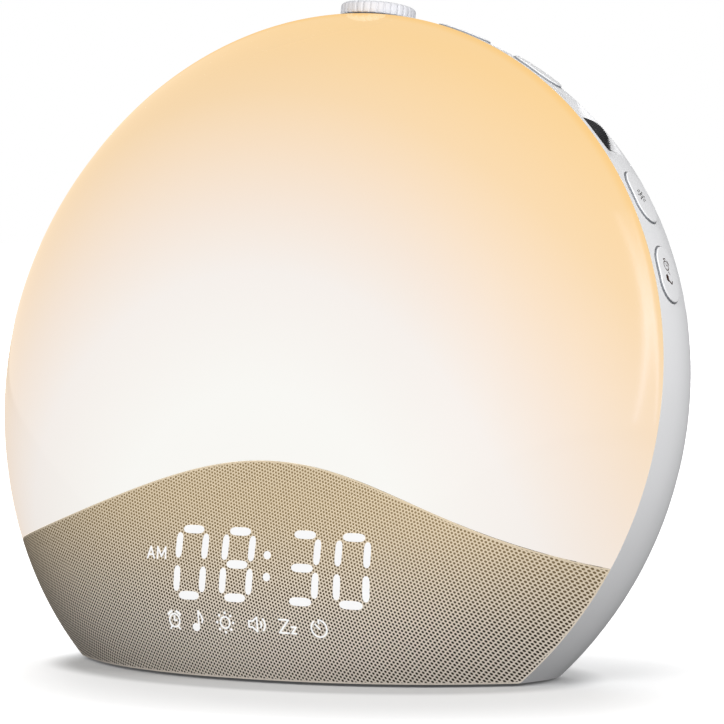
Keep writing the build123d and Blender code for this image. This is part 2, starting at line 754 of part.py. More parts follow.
# ---------------------------------------------------------------- build everything
keep("front_lens", front_lens())
skin, frame = grille_parts()
keep("speaker_grille", skin)
keep("grille_frame", frame)
keep("light_baffle", light_baffle(), base_top)
pieces["chassis"] = chassis_stood()
keep_whole("reflector", reflector())
led_board, led_chips = led_parts()
keep_whole("led_board", led_board)
keep_whole("led_chips", led_chips)
for name, part in zip(("display_bracket", "display_board", "display_block", "display_segments"),
                      display_parts()):
    keep_whole(name, part)
for name, part in zip(("speaker_basket", "speaker_cone", "speaker_magnet", "speaker_gasket"),
                      speaker_parts()):
    keep_whole(name, part)
for name, part in zip(("main_board", "main_chips", "main_capacitors", "board_screws"),
                      main_board_parts()):
    keep_whole(name, part)
keep("rear_shell", rear_shell())
jack, jack_pin = power_jack()
keep_whole("power_jack", jack)
keep_whole("jack_pin", jack_pin)
for name, part in zip(("top_knob", "knob_shaft", "knob_encoder", "encoder_nut"), knob_parts()):
    keep_whole(name, part)
for name, part in zip(("volume_wheel", "wheel_shaft", "volume_pot", "pot_board"), wheel_parts()):
    keep_whole(name, part)
for name, angle in button_angles.items():
    keep_whole(name + "_button", button_cap(angle))
switches, switch_boards = switch_parts()
keep_whole("tact_switches", switches)
keep_whole("switch_boards", switch_boards)
keep_whole("case_screws", case_screws())
for name, part in zip(("base_plate", "rubber_feet", "base_screws"), base_parts()):
    pieces[name] = part
for name, part in zip(("battery_door", "battery_door_screw", "battery_holder", "battery_contact",
                       "coin_cell"), battery_parts()):
    pieces[name] = part

# The origin is on the table, midway between the object's front and back and its two sides.
to_origin = Pos(0, (leaning_reach(dome_rise) - leaning_reach(back_sink)) / 2, 0)
for name, piece in pieces.items():
    export_step(to_origin * piece, f"parts/{name}.step")
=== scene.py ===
"""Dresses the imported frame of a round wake-up lamp: diffuser, grille, display, shell and controls."""
import json
from math import cos, pi, radians, sin

import bmesh
import bpy
import numpy as np
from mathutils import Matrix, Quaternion, Vector


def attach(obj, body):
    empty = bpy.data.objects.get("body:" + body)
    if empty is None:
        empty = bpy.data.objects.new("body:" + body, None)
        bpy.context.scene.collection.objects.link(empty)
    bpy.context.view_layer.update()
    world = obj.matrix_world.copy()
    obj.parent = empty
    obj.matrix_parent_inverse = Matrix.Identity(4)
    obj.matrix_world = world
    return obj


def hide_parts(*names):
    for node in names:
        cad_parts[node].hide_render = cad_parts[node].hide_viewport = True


bl_info = {
    "name": "Sunrise alarm clock",
    "version": (1, 0, 0),
    "blender": (4, 5, 0),
    "location": "3D View > Sidebar > Lamp",
    "description": "Dresses the packed frame of a round wake-up lamp with surfaces and finishes",
    "category": "Object",
}

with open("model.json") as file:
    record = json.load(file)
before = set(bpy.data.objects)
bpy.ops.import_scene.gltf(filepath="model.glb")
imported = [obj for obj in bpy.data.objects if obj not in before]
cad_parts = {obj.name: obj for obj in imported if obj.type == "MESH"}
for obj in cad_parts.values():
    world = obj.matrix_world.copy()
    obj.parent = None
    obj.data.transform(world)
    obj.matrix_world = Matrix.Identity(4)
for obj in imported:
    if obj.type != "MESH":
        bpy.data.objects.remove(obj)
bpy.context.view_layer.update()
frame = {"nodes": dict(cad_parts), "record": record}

mm = 0.001  # a millimetre in metres


def linear(code):
    """sRGB hex to linear: a channel c goes to ((c + 0.055) / 1.055) to the power 2.4, or to c / 12.92
    where it is dark."""
    channels = np.array([int(code[i:i + 2], 16) for i in (1, 3, 5)]) / 255
    bright = ((channels + 0.055) / 1.055) ** 2.4
    return tuple(float(c) for c in np.where(channels <= 0.04045, channels / 12.92, bright))


# ---------------------------------------------------------------- what a user would change
def length(name, description, default):
    """A size in metres."""
    return bpy.props.FloatProperty(name=name, description=description, default=default, unit="LENGTH",
                                   precision=5)


def direction(name, description, degrees):
    """An angle, given in degrees and kept in radians."""
    return bpy.props.FloatProperty(name=name, description=description, default=radians(degrees),
                                   subtype="ANGLE")


def number(name, description, default):
    """A plain factor."""
    return bpy.props.FloatProperty(name=name, description=description, default=default)


def whole(name, description, default, low, high):
    """A whole number between two limits."""
    return bpy.props.IntProperty(name=name, description=description, default=default, min=low, max=high)


def colour(name, description, code):
    """A colour, given as sRGB hex and kept as linear."""
    return bpy.props.FloatVectorProperty(name=name, description=description, default=linear(code),
                                         subtype="COLOR", min=0, max=1)


class LampShape(bpy.types.PropertyGroup):
    """The lamp's body, with the sizes of its solids."""
    rim_radius: length("Rim radius", "Radius of the round face", 95 * mm)
    rim_height: length("Rim height", "Height of the rim's centre above the table", 70.37 * mm)
    rim_setback: length("Rim setback", "How far the rim's centre lies in front of the origin", 3.546 * mm)
    tilt: direction("Tilt", "How far the face leans back", 10.86)
    dome_height: length("Dome height", "Diffuser in front of the rim", 35 * mm)
    dome_fullness: number("Dome fullness", "Higher is flatter", 5.5)
    dome_edge: number("Dome edge", "Roundness of the edge", 1.087)
    back_depth: length("Back depth", "Rear shell behind the rim", 43 * mm)
    back_fullness: number("Back fullness", "Higher is flatter", 3.0)
    back_edge: number("Back edge", "Squareness of the back", 3.3)
    lens_wall: length("Diffuser wall", "Thickness of the diffuser", 2 * mm)
    skin: length("Grille skin", "Thickness of the perforated skin", 0.9 * mm)
    cut: length("Cut", "Height of the level cut under the body", 0.8 * mm)
    wave_crest: length("Wave crest", "Highest point of the wave line, up the face", -22.7 * mm)
    wave_trough: length("Wave trough", "Lowest point of the wave line", -42.1 * mm)
    wave_centre: length("Wave centre", "Where the crest is, to the right", 7.4 * mm)
    wave_half: length("Wave half length", "From crest to trough", 84.5 * mm)
    seam: length("Seam", "Gap between diffuser and grille", 0.1 * mm)


class LampFinish(bpy.types.PropertyGroup):
    """Colours, and the pattern of the grille."""
    glow_core: colour("Glow core", "The brightest part of the lit diffuser", "#FCFBF7")
    glow_pale: colour("Glow pale", "Just outside the core", "#F9F3EE")
    glow_cream: colour("Glow cream", "Half way out", "#F9EADC")
    glow_warm: colour("Glow warm", "Further out", "#FAE2C6")
    glow_amber: colour("Glow amber", "Towards the far rim", "#FADBB0")
    glow_rim: colour("Glow rim", "At the far rim", "#FCD69B")
    glow_edge: colour("Glow edge", "Tint of the diffuser's upper edge", "#FFF7E1")
    glow_centre: length("Glow centre", "Middle of the glow, to the right", 8 * mm)
    glow_level: length("Glow level", "Middle of the glow, up the face", -48.7 * mm)
    glow_turn: direction("Glow turn", "Direction in which the glow fades fastest", 31.7)
    glow_haste: number("Glow haste", "How much faster it fades that way", 1.15)
    # Painted light on the grille: the skin's warm tint at the top is painted glow from the diffuser; the
    # holes are painted glow at the top and painted shade at the foot.
    skin_glow_top: colour("Skin, top", "Grille skin next to the lit diffuser", "#D3C2A6")
    skin_low: colour("Skin, bottom", "Grille skin at the foot", "#E0D6C9")
    hole_glow_top: colour("Holes, top", "Perforations next to the diffuser", "#8A7654")
    hole_shade_foot: colour("Holes, bottom", "Perforations at the foot", "#33281C")
    shell: colour("Shell", "White moulded shell", "#E3E3E4")
    knob: colour("Knob", "Pale grey knob", "#CFCFD3")
    wheel: colour("Wheel", "Black volume wheel", "#303032")
    # Painted shade for the gaps round the buttons.
    gap: colour("Gap", "Shadow gap round the buttons", "#8B8E93")
    print_grey: colour("Grey print", "Symbol on the light button", "#3B3938")
    print_brown: colour("Brown print", "Symbols on the sound button", "#331A10")
    hole_pitch: length("Hole pitch", "Centre to centre of the perforations", 0.86 * mm)
    hole_radius: length("Hole radius", "Radius of a perforation", 0.28 * mm)
    hole_turn: direction("Hole turn", "Angle of the rows of holes", -17)


class LampDisplay(bpy.types.PropertyGroup):
    """The lit digits and symbols."""
    hour: whole("Hour", "Hour that is shown", 8, 0, 23)
    minute: whole("Minute", "Minute that is shown", 30, 0, 59)
    digit_width: length("Digit width", "Width of a digit", 9.6 * mm)
    digit_height: length("Digit height", "Height of a digit", 18.2 * mm)
    stroke: length("Stroke", "Thickness of a stroke", 2.05 * mm)
    slant: number("Slant", "Run to the right per rise", 0.06)
    row: length("Digit row", "Middle of the digits, up the face", -48.4 * mm)
    mark_row: length("Symbol row", "Middle of the symbols, up the face", -62.5 * mm)
    line: length("Symbol line", "Line thickness of a symbol", 0.42 * mm)


class LampKnob(bpy.types.PropertyGroup):
    """The fluted knob on top."""
    radius: length("Radius", "Knob radius", 9.5 * mm)
    height: length("Height", "Knob height", 3.0 * mm)
    under: length("Underside", "Underside above the rim's centre, up the face", 95.4 * mm)
    depth: length("Axis depth", "Axis behind the rim", 9 * mm)
    edge: length("Edge", "Rounding of the top edge", 0.9 * mm)
    flutes: whole("Flutes", "Number of flutes", 32, 8, 60)
    flute_depth: length("Flute depth", "Depth of a flute", 0.36 * mm)


class LampWheel(bpy.types.PropertyGroup):
    """The ribbed volume wheel."""
    radius: length("Radius", "Wheel radius", 9 * mm)
    width: length("Width", "Width of the wheel", 4 * mm)
    proud: length("Proud", "How far it stands above the rim's circle", 0.6 * mm)
    depth: length("Depth", "Middle of the wheel behind the rim", 7 * mm)
    edge: length("Edge", "Chamfer of its edges", 0.35 * mm)
    ribs: whole("Ribs", "Number of ribs", 96, 12, 160)
    rib_depth: length("Rib depth", "Depth between the ribs", 0.45 * mm)


# Angles are in degrees round the rim, from the top to the right.
wheel_angle = 45.15
button_angles = {"snooze": 16.2, "set": 30.65, "light": 57.9, "sound": 70.65}
button_depth = 7.5 * mm     # middle of the buttons behind the rim
pill_radius, pill_straight = 5.1 * mm, 2.1 * mm     # round end, and half of the straight side
digit_centres = tuple(x * mm for x in (-12.7, 0.7, 18.9, 32.2))
colon_centre, colon_half, colon_dot = 9.15 * mm, 2.65 * mm, 1.0 * mm


# ---------------------------------------------------------------- the lamp's surfaces
def lamp_point(g, x, s, w):
    """From the lamp's own directions (right, up the face, out of the face) to the scene's: the face leans
    back by the tilt about the rim's centre."""
    x, s, w = np.broadcast_arrays(x, s, w)
    lean, rise = sin(g.tilt), cos(g.tilt)
    return np.stack([x, s * lean - w * rise - g.rim_setback, g.rim_height + s * rise + w * lean], -1)


def dome_rise(g, r, inset=0.0):
    """Height times (1 minus (r over rim radius) to the fullness), to the edge power."""
    share = np.clip(r / (g.rim_radius - inset), 0, 1)
    return (g.dome_height - inset) * (1 - share ** g.dome_fullness) ** g.dome_edge


def back_radius(g, depth, rise=0.0):
    """Radius of the rear shell at a depth: (rim radius) times (1 minus (depth over back depth) to the
    edge power), to one over the fullness."""
    share = np.clip(depth / (g.back_depth + rise), 0, 1)
    return (g.rim_radius + rise) * (1 - share ** g.back_edge) ** (1 / g.back_fullness)


def wave_height(g, x):
    """One cosine swell from trough to crest and back, and level beyond it."""
    phase = np.clip((x - g.wave_centre) / g.wave_half, -1, 1)
    return g.wave_trough + (g.wave_crest - g.wave_trough) * (0.5 + 0.5 * np.cos(pi * phase))


def halved(test, low, high, steps=40):
    """Halves an interval until it holds the place where test stops being true."""
    low, high = np.array(low, float), np.array(high, float)
    for _ in range(steps):
        middle = (low + high) / 2
        good = test(middle)
        low, high = np.where(good, middle, low), np.where(good, high, middle)
    return low


# ---------------------------------------------------------------- meshes
def grid_faces(rows, columns, start, round_columns=False):
    """Four corners of each cell of a grid whose points are numbered row by row."""
    across = columns if round_columns else columns - 1
    i, j = np.meshgrid(np.arange(rows - 1), np.arange(across), indexing="ij")
    a, b = start + i * columns + j, start + i * columns + (j + 1) % columns
    return np.stack([a, b, b + columns, a + columns], -1).reshape(-1, 4)


def mesh_of(name, grids, round_columns=False, values=None, sharp=35.0):
    """One mesh of several grids of points. Points that meet are merged, faces are turned outwards, and
    edges sharper than the angle in degrees stay sharp. values is an array of vectors, one for each
    point, that is kept as 'place'."""
    points, faces, start = [], [], 0
    for grid in grids:
        rows, columns = grid.shape[:2]
        points.append(grid.reshape(-1, 3))
        faces.append(grid_faces(rows, columns, start, round_columns))
        start += rows * columns
    points, faces = np.concatenate(points), np.concatenate(faces)
    mesh = bpy.data.meshes.new(name)
    mesh.from_pydata(points, [], faces)
    if values is not None:
        mesh.attributes.new("place", "FLOAT_VECTOR", "POINT").data.foreach_set(
            "vector", values.astype(np.float32).ravel())
    tidy_mesh(mesh, sharp)
    return mesh


def tidy_mesh(mesh, sharp, turn=True):
    """Merges points that meet, drops faces without area and sets smooth shading with sharp edges."""
    merged, vanished = 0.001 * mm, 0.0001 * mm
    body = bmesh.new()
    body.from_mesh(mesh)
    bmesh.ops.remove_doubles(body, verts=body.verts, dist=merged)
    bmesh.ops.dissolve_degenerate(body, edges=body.edges, dist=vanished)
    if turn:
        bmesh.ops.recalc_face_normals(body, faces=body.faces)
    body.to_mesh(mesh)
    body.free()
    mesh.shade_smooth()
    mesh.set_sharp_from_angle(angle=radians(sharp))


def add_piece(mesh, material, body, slot, *nodes):
    """Puts a mesh in the scene as a piece that rides on a body and stands for CAD nodes."""
    piece = bpy.data.objects.new(mesh.name, mesh)
    bpy.context.scene.collection.objects.link(piece)
    mesh.materials.clear()
    mesh.materials.append(material)
    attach(piece, body)
    if nodes:
        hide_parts(*nodes)
    return piece


def smoothed_copy(node, name, material, body, slot, sharp=30.0):
    """The node's own shape as a piece with smooth shading across its rounded faces."""
    mesh = frame["nodes"][node].data.copy()
    mesh.name = name
    tidy_mesh(mesh, sharp, turn=False)
    return add_piece(mesh, material, body, slot, node)


# ---------------------------------------------------------------- materials
def add_node(tree, kind, inputs=None, **settings):
    """Adds a node with its settings. An input takes a value, or an output socket to link from."""
    node = tree.nodes.new(kind)
    for key, value in settings.items():
        setattr(node, key, value)
    for key, value in (inputs or {}).items():
        if isinstance(value, bpy.types.NodeSocket):
            tree.links.new(value, node.inputs[key])
        else:
            node.inputs[key].default_value = value
    return node


def new_material(name):
    """A material and its tree, still without nodes."""
    material = bpy.data.materials.new(name)
    material.use_nodes = True
    tree = material.node_tree
    tree.nodes.clear()
    return material, tree


def finish_material(tree, inputs):
    """Ends a material's tree with its shader and output."""
    shader = add_node(tree, "ShaderNodeBsdfPrincipled", inputs)
    add_node(tree, "ShaderNodeOutputMaterial", {"Surface": shader.outputs["BSDF"]})


def rgba(shade):
    """Four channels, as a colour input takes them."""
    return (*shade, 1.0)


def colour_ramp(tree, factor, stops, interpolation="EASE"):
    """Colours at shares of the factor's way from zero to one."""
    node = add_node(tree, "ShaderNodeValToRGB", {"Fac": factor})
    ramp = node.color_ramp
    ramp.interpolation = interpolation
    while len(ramp.elements) < len(stops):
        ramp.elements.new(0.5)
    for element, (place, value) in zip(ramp.elements, stops):
        element.position = place
        element.color = rgba(value)
    return node


def lamp_coordinates(tree, g):
    """Object coordinates turned so that X is right, Y up the face and Z out of the face."""
    place = add_node(tree, "ShaderNodeTexCoord")
    turn = g.tilt - pi / 2
    centre = np.array([0, -g.rim_setback, g.rim_height])
    moved = np.array([[1, 0, 0], [0, cos(turn), -sin(turn)], [0, sin(turn), cos(turn)]]) @ -centre
    return add_node(tree, "ShaderNodeMapping",
                    {"Vector": place.outputs["Object"], "Location": tuple(moved), "Rotation": (turn, 0, 0)})


def moulded_plastic(name, base, roughness, grain=0.35 * mm, depth=0.02 * mm):
    """Moulded ABS or a like plastic: a fine spark-eroded grain breaks up the gloss, and the colour drifts
    a little over centimetres."""
    swing, spread, patch = 0.06, 0.03, 60 * mm
    material, tree = new_material(name)
    place = add_node(tree, "ShaderNodeTexCoord")
    fine = add_node(tree, "ShaderNodeTexNoise", {"Vector": place.outputs["Object"], "Scale": 1 / grain,
                                                 "Detail": 2.0})
    drift = add_node(tree, "ShaderNodeTexNoise", {"Vector": place.outputs["Object"], "Scale": 1 / patch})
    dark, light = ([min(1.0, c * share) for c in base] for share in (1 - spread, 1 + spread))
    tint = colour_ramp(tree, drift.outputs["Fac"], [(0.3, dark), (0.7, light)])
    rough = add_node(tree, "ShaderNodeMapRange", {"Value": fine.outputs["Fac"], "To Min": roughness - swing,
                                                  "To Max": roughness + swing})
    bump = add_node(tree, "ShaderNodeBump", {"Height": fine.outputs["Fac"], "Distance": depth,
                                             "Strength": 0.5})
    finish_material(tree, {"Base Color": tint.outputs["Color"], "Roughness": rough.outputs["Result"],
                           "Normal": bump.outputs["Normal"], "IOR": 1.5})
    return material


def plain_metal(name, base, roughness):
    """Rolled or turned metal: fine level streaks, much longer than high, in its colour and roughness."""
    streak, drawn_out, swing, dimmer = 0.2 * mm, 12.0, 0.08, 0.93
    material, tree = new_material(name)
    place = add_node(tree, "ShaderNodeTexCoord")
    stretch = add_node(tree, "ShaderNodeMapping", {"Vector": place.outputs["Object"],
                                                   "Scale": (1.0, 1.0, drawn_out)})
    streaks = add_node(tree, "ShaderNodeTexNoise", {"Vector": stretch.outputs["Vector"],
                                                    "Scale": 1 / (drawn_out * streak), "Detail": 3.0})
    tint = colour_ramp(tree, streaks.outputs["Fac"], [(0.35, [c * dimmer for c in base]), (0.65, base)])
    rough = add_node(tree, "ShaderNodeMapRange", {"Value": streaks.outputs["Fac"],
                                                  "To Min": roughness - swing,
                                                  "To Max": roughness + swing})
    finish_material(tree, {"Base Color": tint.outputs["Color"], "Roughness": rough.outputs["Result"],
                           "Metallic": 1.0})
    return material


def lit_diffuser(g, finish):
    """Milky opal polycarbonate, lit from behind: nearly white in front of the lamps, and warmer with
    every centimetre that the light has to travel through the wall. Its polished mould leaves it glossy."""
    glow_reach = 150 * mm       # the stops are shares of it
    edge_start, edge_end, edge_level = 1.8 * mm, 0.2 * mm, 60 * mm     # inside the rim, and up the face
    unlit = (0.1, 0.1, 0.1)     # share of the glow's colour that the wall has by itself
    material, tree = new_material("opal_diffuser")
    place = lamp_coordinates(tree, g)
    flat = add_node(tree, "ShaderNodeVectorMath", {0: place.outputs["Vector"], 1: (1.0, 1.0, 0.0)},
                    operation="MULTIPLY")
    away = add_node(tree, "ShaderNodeVectorMath", {0: flat.outputs["Vector"],
                                                   1: (finish.glow_centre, finish.glow_level, 0.0)},
                    operation="SUBTRACT")
    turned = add_node(tree, "ShaderNodeVectorRotate", {"Vector": away.outputs["Vector"],
                                                       "Angle": -finish.glow_turn}, rotation_type="Z_AXIS")
    hasty = add_node(tree, "ShaderNodeVectorMath", {0: turned.outputs["Vector"],
                                                    1: (finish.glow_haste, 1.0, 1.0)}, operation="MULTIPLY")
    longer = add_node(tree, "ShaderNodeVectorMath", {0: turned.outputs["Vector"],
                                                     1: hasty.outputs["Vector"]}, operation="MAXIMUM")
    reach = add_node(tree, "ShaderNodeVectorMath", {0: longer.outputs["Vector"]}, operation="LENGTH")
    share = add_node(tree, "ShaderNodeMapRange", {"Value": reach.outputs["Value"], "From Max": glow_reach})
    field = colour_ramp(tree, share.outputs["Result"],
                        [(0.3, finish.glow_core), (0.5, finish.glow_pale), (0.61, finish.glow_cream),
                         (0.72, finish.glow_warm), (0.82, finish.glow_amber), (0.96, finish.glow_rim)],
                        "LINEAR")
    out = add_node(tree, "ShaderNodeVectorMath", {0: flat.outputs["Vector"]}, operation="LENGTH")
    rim = add_node(tree, "ShaderNodeMapRange", {"Value": out.outputs["Value"],
                                                "From Min": g.rim_radius - edge_start,
                                                "From Max": g.rim_radius - edge_end},
                   interpolation_type="SMOOTHSTEP")
    level = add_node(tree, "ShaderNodeSeparateXYZ", {"Vector": place.outputs["Vector"]})
    high = add_node(tree, "ShaderNodeMapRange", {"Value": level.outputs["Y"], "From Max": edge_level,
                                                 "To Max": rim.outputs["Result"]})
    glow = add_node(tree, "ShaderNodeMix", {"Factor": high.outputs["Result"], 6: field.outputs["Color"],
                                            7: rgba(finish.glow_edge)}, data_type="RGBA",
                    blend_type="MULTIPLY")
    body = add_node(tree, "ShaderNodeMix", {"Factor": 1.0, 6: glow.outputs[2], 7: rgba(unlit)},
                    data_type="RGBA", blend_type="MULTIPLY")
    drift = add_node(tree, "ShaderNodeTexNoise", {"Vector": place.outputs["Vector"], "Scale": 1 / (40 * mm)})
    rough = add_node(tree, "ShaderNodeMapRange", {"Value": drift.outputs["Fac"], "To Min": 0.07,
                                                  "To Max": 0.1})
    finish_material(tree, {"Base Color": body.outputs[2], "Emission Color": glow.outputs[2],
                           "Emission Strength": 0.85, "Roughness": rough.outputs["Result"], "IOR": 1.5})
    return material


def perforated_skin(g, finish):
    """Moulded polycarbonate skin with a hexagonal field of fine holes: each hole is the distance to the
    nearest point of two rectangular lattices, half a cell apart. A plain border runs along its edge. The
    colours hold painted light: the skin is warmer next to the lit diffuser as painted glow, and the holes
    show painted glow there and painted shade towards the foot."""
    soft, plain, open_from = 0.05 * mm, 0.35 * mm, 0.5 * mm     # blur of a hole, and the border's edges
    # Where the painted glow at the top gives way to the painted shade at the foot, up the face.
    painted_light_top, painted_light_foot = -30 * mm, -72 * mm    # where the tint changes, up the face
    material, tree = new_material("perforated_skin")
    held = add_node(tree, "ShaderNodeAttribute", attribute_name="place")
    turned = add_node(tree, "ShaderNodeVectorRotate", {"Vector": held.outputs["Vector"],
                                                       "Angle": -finish.hole_turn}, rotation_type="Z_AXIS")
    flat = add_node(tree, "ShaderNodeVectorMath", {0: turned.outputs["Vector"], 1: (1.0, 1.0, 0.0)},
                    operation="MULTIPLY")
    half = (finish.hole_pitch / 2, finish.hole_pitch * 3 ** 0.5 / 2, 1.0)
    reach = []
    for shift in ((0.0, 0.0, 0.0), (half[0], half[1], 0.0)):
        moved = add_node(tree, "ShaderNodeVectorMath", {0: flat.outputs["Vector"], 1: shift})
        cell = add_node(tree, "ShaderNodeVectorMath", {0: moved.outputs["Vector"], 1: half,
                                                       2: tuple(-v for v in half)}, operation="WRAP")
        reach.append(add_node(tree, "ShaderNodeVectorMath", {0: cell.outputs["Vector"]},
                              operation="LENGTH").outputs["Value"])
    nearest = add_node(tree, "ShaderNodeMath", {0: reach[0], 1: reach[1]}, operation="MINIMUM")
    wall = add_node(tree, "ShaderNodeMapRange", {"Value": nearest.outputs["Value"],
                                                 "From Min": finish.hole_radius - soft,
                                                 "From Max": finish.hole_radius + soft},
                    interpolation_type="SMOOTHSTEP")
    edge = add_node(tree, "ShaderNodeSeparateXYZ", {"Vector": held.outputs["Vector"]})
    border = add_node(tree, "ShaderNodeMapRange", {"Value": edge.outputs["Z"], "From Min": plain,
                                                   "From Max": open_from, "To Min": 1.0, "To Max": 0.0})
    solid = add_node(tree, "ShaderNodeMath", {0: wall.outputs["Result"], 1: border.outputs["Result"]},
                     operation="MAXIMUM")
    height = add_node(tree, "ShaderNodeSeparateXYZ", {"Vector": lamp_coordinates(tree, g).outputs["Vector"]})
    low = add_node(tree, "ShaderNodeMapRange", {"Value": height.outputs["Y"], "From Min": painted_light_top,
                                                "From Max": painted_light_foot})
    # Painted glow next to the diffuser, painted shade in the holes lower down.
    skin = colour_ramp(tree, low.outputs["Result"], [(0.0, finish.skin_glow_top), (1.0, finish.skin_low)])
    hole = colour_ramp(tree, low.outputs["Result"], [(0.0, finish.hole_glow_top), (0.8, finish.hole_shade_foot)])
    shown = add_node(tree, "ShaderNodeMix", {"Factor": solid.outputs["Value"], 6: hole.outputs["Color"],
                                             7: skin.outputs["Color"]}, data_type="RGBA")
    bump = add_node(tree, "ShaderNodeBump", {"Height": solid.outputs["Value"], "Distance": 0.12 * mm,
                                             "Strength": 0.5})
    finish_material(tree, {"Base Color": shown.outputs[2], "Roughness": 0.62,
                           "Normal": bump.outputs["Normal"], "IOR": 1.5})
    return material


def lit_mark():
    """White light that shines through the skin."""
    material, tree = new_material("lit_mark")
    place = add_node(tree, "ShaderNodeTexCoord")
    drift = add_node(tree, "ShaderNodeTexNoise", {"Vector": place.outputs["Object"], "Scale": 1 / (8 * mm)})
    glow = colour_ramp(tree, drift.outputs["Fac"], [(0.3, linear("#FCFCFD")), (0.7, linear("#FFFFFF"))])
    finish_material(tree, {"Base Color": rgba(linear("#404040")), "Emission Color": glow.outputs["Color"],
                           "Emission Strength": 0.9, "Roughness": 0.5})
    return material


def circuit_board():
    """Glass-epoxy board under green solder mask: copper tracks show as slightly lighter bands."""
    material, tree = new_material("solder_mask_board")
    place = add_node(tree, "ShaderNodeTexCoord")
    tracks = add_node(tree, "ShaderNodeTexVoronoi", {"Vector": place.outputs["Object"],
                                                     "Scale": 1 / (3 * mm)}, distance="MANHATTAN")
    tint = colour_ramp(tree, tracks.outputs["Distance"],
                       [(0.25, linear("#1F6B3A")), (0.32, linear("#124A26"))])
    finish_material(tree, {"Base Color": tint.outputs["Color"], "Roughness": 0.35, "IOR": 1.55})
    return material


def printed_mark(name, ink):
    """Pad-printed ink, slightly uneven."""
    return moulded_plastic(name, ink, 0.6, depth=0.0)


# ---------------------------------------------------------------- diffuser and grille
def wave_reach(g, angle, gap):
    """How far a ray from the rim's centre goes before it meets the rim or the wave line."""
    c, s = np.cos(angle), np.sin(angle)
    return halved(lambda r: r * s > wave_height(g, r * c) + gap, np.zeros_like(angle),
                  np.full_like(angle, g.rim_radius))


class LAMP_OT_diffuser(bpy.types.Operator):
    """The milky dome above the wave line, a closed wall: outer face, rounded wave edge and inner face"""
    bl_idname = "lamp.diffuser"
    bl_label = "Diffuser"

    def execute(self, context):
        g, finish = context.scene.lamp_shape, context.scene.lamp_finish
        rounding, short_of_rim = 0.3 * mm, 0.2 * mm
        angle = ray_angles(g)
        reach = wave_reach(g, angle, g.seam / 2)
        edge = np.where(reach < g.rim_radius - short_of_rim, rounding, 0.0)
        rings = np.sin(np.linspace(0, pi / 2, 56))
        outer_r = rings[:, None] * (reach - edge)
        outer_w = dome_rise(g, outer_r)
        turn = np.linspace(0, pi / 2, 5)[1:, None]
        edge_r = reach - edge + edge * np.sin(turn)
        edge_w = dome_rise(g, edge_r) - edge * (1 - np.cos(turn))
        inner_reach = np.minimum(reach, g.rim_radius - g.lens_wall)
        inner_r = np.sin(np.linspace(pi / 2, 0, 14))[:, None] * inner_reach
        inner_w = dome_rise(g, inner_r, g.lens_wall)
        r = np.concatenate([outer_r, edge_r, inner_r])
        w = np.concatenate([outer_w, edge_w, inner_w])
        grid = lamp_point(g, r * np.cos(angle), r * np.sin(angle), w)
        mesh = mesh_of("diffuser", [grid], round_columns=True, sharp=50)
        add_piece(mesh, lit_diffuser(g, finish), "lamp", "lens", "front_lens")
        return {"FINISHED"}


def ray_angles(g):
    """Even angles round the face, with the two corners where wave and rim meet added exactly."""
    even = np.linspace(-pi / 2, 3 * pi / 2, 480, endpoint=False)

    def above(a):
        return g.rim_radius * np.sin(a) > wave_height(g, g.rim_radius * np.cos(a)) + g.seam / 2

    right = halved(above, [0.0], [-pi / 3])
    left = halved(above, [pi], [4 * pi / 3])
    return np.sort(np.concatenate([even, right, left]))


def foot_line(g, x, inset):
    """Lower edge of the grille at x: the rim's circle, or the level cut where that is higher."""
    edge = g.rim_radius - inset
    circle = -np.sqrt(np.maximum(edge ** 2 - x ** 2, 0))

    def above_cut(s):
        w = dome_rise(g, np.hypot(x, s), inset)
        return g.rim_height + s * cos(g.tilt) + w * sin(g.tilt) > g.cut

    return np.maximum(circle, halved(above_cut, np.full_like(x, -40 * mm), np.full_like(x, -90 * mm)))


class LAMP_OT_grille(bpy.types.Operator):
    """The perforated skin below the wave line, a closed wall: outer face, inner face and edges"""
    bl_idname = "lamp.grille"
    bl_label = "Speaker grille"

    def execute(self, context):
        g, finish = context.scene.lamp_shape, context.scene.lamp_finish

        def below(x):
            return -np.sqrt(g.rim_radius ** 2 - x ** 2) < wave_height(g, x) - g.seam / 2

        left, right = (halved(below, [side * 60 * mm], [side * 94 * mm])[0] for side in (-1, 1))
        x = np.linspace(left, right, 330)
        down = np.sin(np.linspace(0, pi / 2, 84))[:, None]
        top = wave_height(g, x) - g.seam / 2
        layers = []
        for inset in (0.0, g.skin):
            bottom = np.minimum(foot_line(g, x, inset), top)
            s = top + (bottom - top) * down
            layers.append(np.stack([s, dome_rise(g, np.hypot(x, s), inset)]))
        s, w = np.concatenate([layers[0], layers[1][:, ::-1]], 1)
        grid = lamp_point(g, x, s, w)
        mesh = mesh_of("grille", [np.concatenate([grid, grid[:1]])], values=self.places(g, x, s, w, top),
                       sharp=50)
        add_piece(mesh, perforated_skin(g, finish), "lamp", "mesh", "speaker_grille")
        return {"FINISHED"}

    def places(self, g, x, s, w, top):
        """Places for the pattern, as seen straight from the front, and the distance to the skin's edge."""
        x = np.broadcast_to(x, s.shape)
        from_rim = np.hypot(g.rim_radius - np.hypot(x, s), w)
        from_foot = (g.rim_height + s * cos(g.tilt) + w * sin(g.tilt)) - g.cut
        place = np.stack([x, s, np.minimum(np.minimum(from_rim, from_foot), top - s)], -1)
        return np.concatenate([place, place[:1]])


# ---------------------------------------------------------------- lit marks
def raised(g, plane, lift):
    """Grids of (x, s) laid on the skin, lifted a little, with their borders sunk into it."""
    grids = []
    for flat in plane:
        wide = np.concatenate([flat[:1], flat, flat[-1:]])
        wide = np.concatenate([wide[:, :1], wide, wide[:, -1:]], 1)
        rise = np.full(wide.shape[:2], lift)
        rise[0] = rise[-1] = rise[:, 0] = rise[:, -1] = -lift
        x, s = wide[..., 0], wide[..., 1]
        grids.append(lamp_point(g, x, s, dome_rise(g, np.hypot(x, s)) + rise))
    return grids


